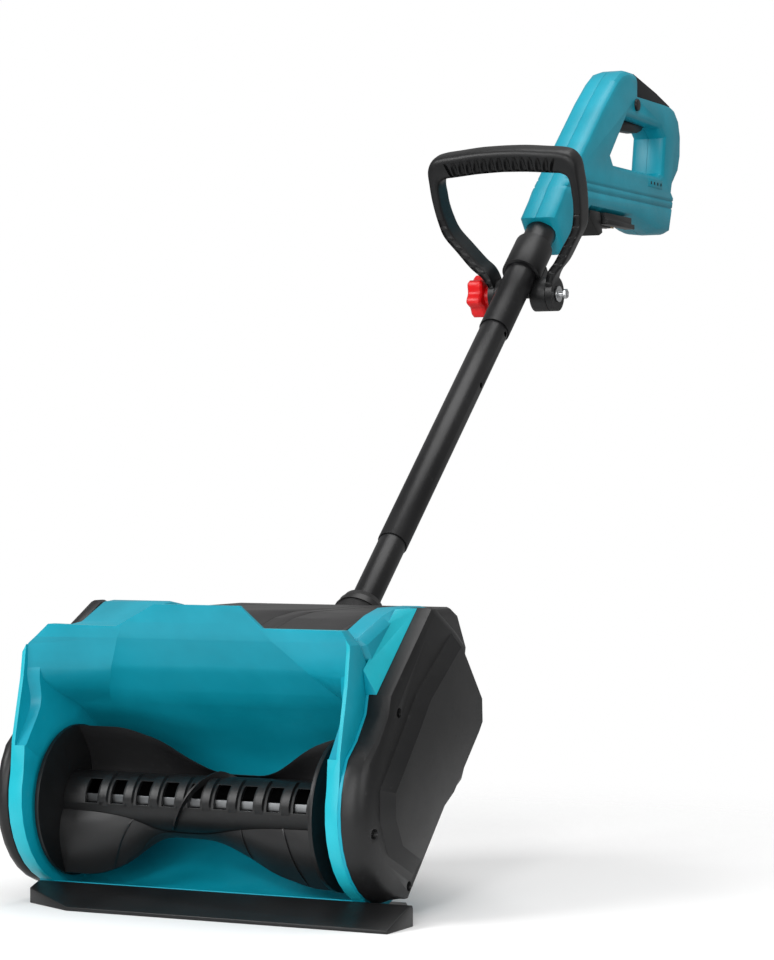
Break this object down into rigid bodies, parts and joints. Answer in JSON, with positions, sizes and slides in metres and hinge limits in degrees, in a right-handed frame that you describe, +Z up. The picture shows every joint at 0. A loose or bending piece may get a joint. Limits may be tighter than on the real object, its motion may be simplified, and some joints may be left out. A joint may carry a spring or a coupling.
{
  "type": "cordless snow shovel",
  "caption": "Battery snow shovel: belt-driven two-paddle auger in a blue housing with a scraper, on a telescopic pole with a tilting bail grip and a trigger handle.",
  "frame": {"origin": "on the ground under the auger axis, in the middle of the scraper's width range (x = 0 is the pole's plane)", "axes": "+X along the auger to the belt side, +Y back towards the operator, -Y is where snow is thrown, +Z up"},
  "size_m": [0.399, 1.235, 0.877],
  "materials": {
    "teal_plastic": "moulded, satin gloss",
    "black_plastic": "moulded, fine grain",
    "grey_plastic": "moulded, satin",
    "tube_paint": "satin powder coat",
    "steel": "bright zinc",
    "brass": "plain",
    "red_plastic": "moulded",
    "soft_rubber": "matt overmould",
    "paddle_rubber": "stiff moulded rubber",
    "belt_rubber": "plain",
    "board": "lacquered"
  },
  "bodies": {
    "head": {"auger_housing": "teal_plastic", "scraper_bar": "black_plastic", "belt_case": "teal_plastic", "belt_cover": "black_plastic", "cover_screw_1": "steel", "cover_screw_2": "steel", "cover_screw_3": "steel", "left_case": "teal_plastic", "left_cover": "black_plastic", "motor_housing": "grey_plastic", "pole_socket": "grey_plastic", "motor_can": "steel", "motor_end_bell": "black_plastic", "drive_belt": "belt_rubber", "left_bearing": "steel", "right_bearing": "steel", "lower_tube": "tube_paint", "mid_tube": "tube_paint", "lower_snap_spring": "steel"},
    "auger": {"auger_shaft": "steel", "auger_pulley": "black_plastic", "auger_hub": "black_plastic", "auger_upper_paddle": "paddle_rubber", "auger_lower_paddle": "paddle_rubber", "auger_left_disc": "black_plastic", "auger_right_disc": "black_plastic"},
    "rotor": {"motor_rotor": "steel", "motor_fan": "black_plastic", "drive_pulley": "steel"},
    "upper_pole": {"upper_tube": "tube_paint", "handle_left_half": "teal_plastic", "handle_right_half": "teal_plastic", "soft_grip": "soft_rubber", "trigger_pin": "steel", "trigger_spring": "steel", "trigger_switch": "black_plastic", "control_board": "board", "battery_rails": "black_plastic", "contact_block": "grey_plastic", "battery_contact_1": "brass", "battery_contact_2": "brass", "battery_contact_3": "brass", "battery_catch": "black_plastic", "upper_snap_spring": "steel"},
    "clamp": {"handle_clamp": "black_plastic", "clamp_bolt": "steel", "bolt_end_nut": "steel", "left_washer": "steel", "right_washer": "steel"},
    "bail": {"bail_handle": "black_plastic"},
    "knob": {"clamp_knob": "red_plastic"},
    "trigger": {"trigger": "black_plastic"},
    "lock": {"lock_button": "black_plastic"},
    "upper_button": {"upper_snap_button": "steel"},
    "lower_button": {"lower_snap_button": "steel"}
  },
  "joints": [
    {"name": "auger_spin", "type": "hinge", "parent": "head", "child": "auger", "pos_m": [0, 0, 0.09], "axis": [1, 0, 0], "continuous": true},
    {"name": "motor_spin", "type": "hinge", "parent": "head", "child": "rotor", "pos_m": [0, 0.085, 0.205], "axis": [1, 0, 0], "continuous": true},
    {"name": "pole_slide", "type": "slide", "parent": "head", "child": "upper_pole", "axis": [0, 0.745, 0.6671], "range_m": [-0.0865, 0]},
    {"name": "clamp_slide", "type": "slide", "parent": "upper_pole", "child": "clamp", "axis": [0, 0.745, 0.6671], "range_m": [-0.055, 0.02]},
    {"name": "bail_tilt", "type": "hinge", "parent": "clamp", "child": "bail", "pos_m": [0, 0.70517, 0.5944], "axis": [1, 0, 0], "range_deg": [-35, 60]},
    {"name": "knob_turn", "type": "hinge", "parent": "clamp", "child": "knob", "pos_m": [0, 0.70517, 0.5944], "axis": [1, 0, 0], "continuous": true},
    {"name": "trigger_pull", "type": "hinge", "parent": "upper_pole", "child": "trigger", "pos_m": [0, 1.048, 0.828], "axis": [1, 0, 0], "range_deg": [-6, 0], "stiffness_Nm_per_rad": 0.8},
    {"name": "lock_press", "type": "slide", "parent": "upper_pole", "child": "lock", "axis": [1, 0, 0], "range_m": [-0.0025, 0.0025], "stiffness_N_per_m": 400},
    {"name": "upper_snap_press", "type": "slide", "parent": "upper_pole", "child": "upper_button", "axis": [0, -0.6671, 0.745], "range_m": [0, 0.0025], "stiffness_N_per_m": 800},
    {"name": "lower_snap_press", "type": "slide", "parent": "head", "child": "lower_button", "axis": [0, -0.6671, 0.745], "range_m": [0, 0.0025], "stiffness_N_per_m": 800}
  ],
  "couplings": [
    {"joint": "motor_spin", "follows": "auger_spin", "ratio": 4.2222}
  ]
}
